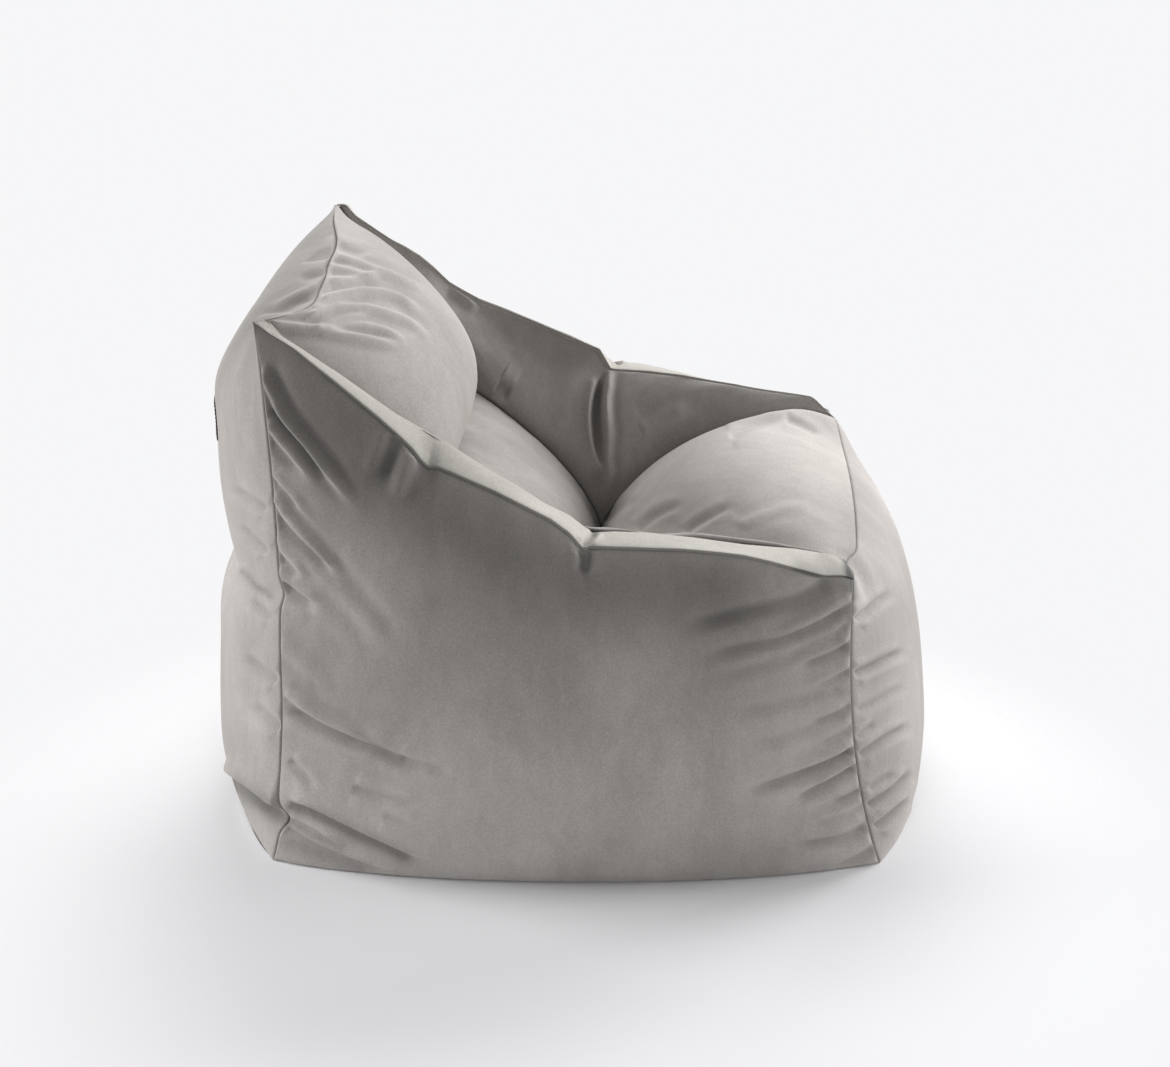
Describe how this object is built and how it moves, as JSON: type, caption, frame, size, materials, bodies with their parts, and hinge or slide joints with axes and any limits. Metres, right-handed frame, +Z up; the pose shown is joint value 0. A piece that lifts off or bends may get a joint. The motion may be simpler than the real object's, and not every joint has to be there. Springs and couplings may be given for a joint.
{
  "type": "bean bag chair",
  "caption": "Low bean bag armchair: sewn velvet panels make a sloping backrest, flat-topped arms and a scooped seat round a lined bead filling, with a zip in the base.",
  "frame": {"origin": "on the floor, under the middle of the overall box", "axes": "+Z up, front of the seat towards -Y, +X towards the sitter's left"},
  "size_m": [0.8892, 0.9336, 0.6756],
  "materials": {
    "velvet": "short-pile velvet, soft sheen",
    "base_cloth": "plain hard-wearing weave",
    "zip_tape": "herringbone tape",
    "zip_teeth": "moulded acetal",
    "zip_metal": "satin enamel",
    "label_cloth": "close black weave, bare",
    "label_thread": "polyester thread",
    "liner_cloth": "light nonwoven",
    "beads": "expanded polystyrene beads"
  },
  "bodies": {
    "chair": {"outer_side_panel_right": "velvet", "outer_side_panel_left": "velvet", "arm_strip_right": "velvet", "arm_strip_left": "velvet", "inner_arm_panel_right": "velvet", "inner_arm_panel_left": "velvet", "backrest_panel": "velvet", "lumbar_panel": "velvet", "seat_panel": "velvet", "front_panel": "velvet", "back_panel": "velvet", "base_panel_front": "base_cloth", "base_panel_rear": "base_cloth", "zip_end_tab_right": "base_cloth", "zip_end_tab_left": "base_cloth", "zip_tape_front": "zip_tape", "zip_tape_rear": "zip_tape", "zip_teeth_front": "zip_teeth", "zip_teeth_rear": "zip_teeth", "zip_end_stops": "zip_metal", "label_patch": "label_cloth", "label_stitching": "label_thread", "inner_liner": "liner_cloth", "bead_fill": "beads"},
    "slider": {"zip_slider": "zip_metal"}
  },
  "joints": [
    {"name": "zip_slide", "type": "slide", "parent": "chair", "child": "slider", "axis": [-1, 0, 0], "range_m": [0, 0.45], "deforming": ["zip_teeth_front", "zip_teeth_rear"]}
  ]
}
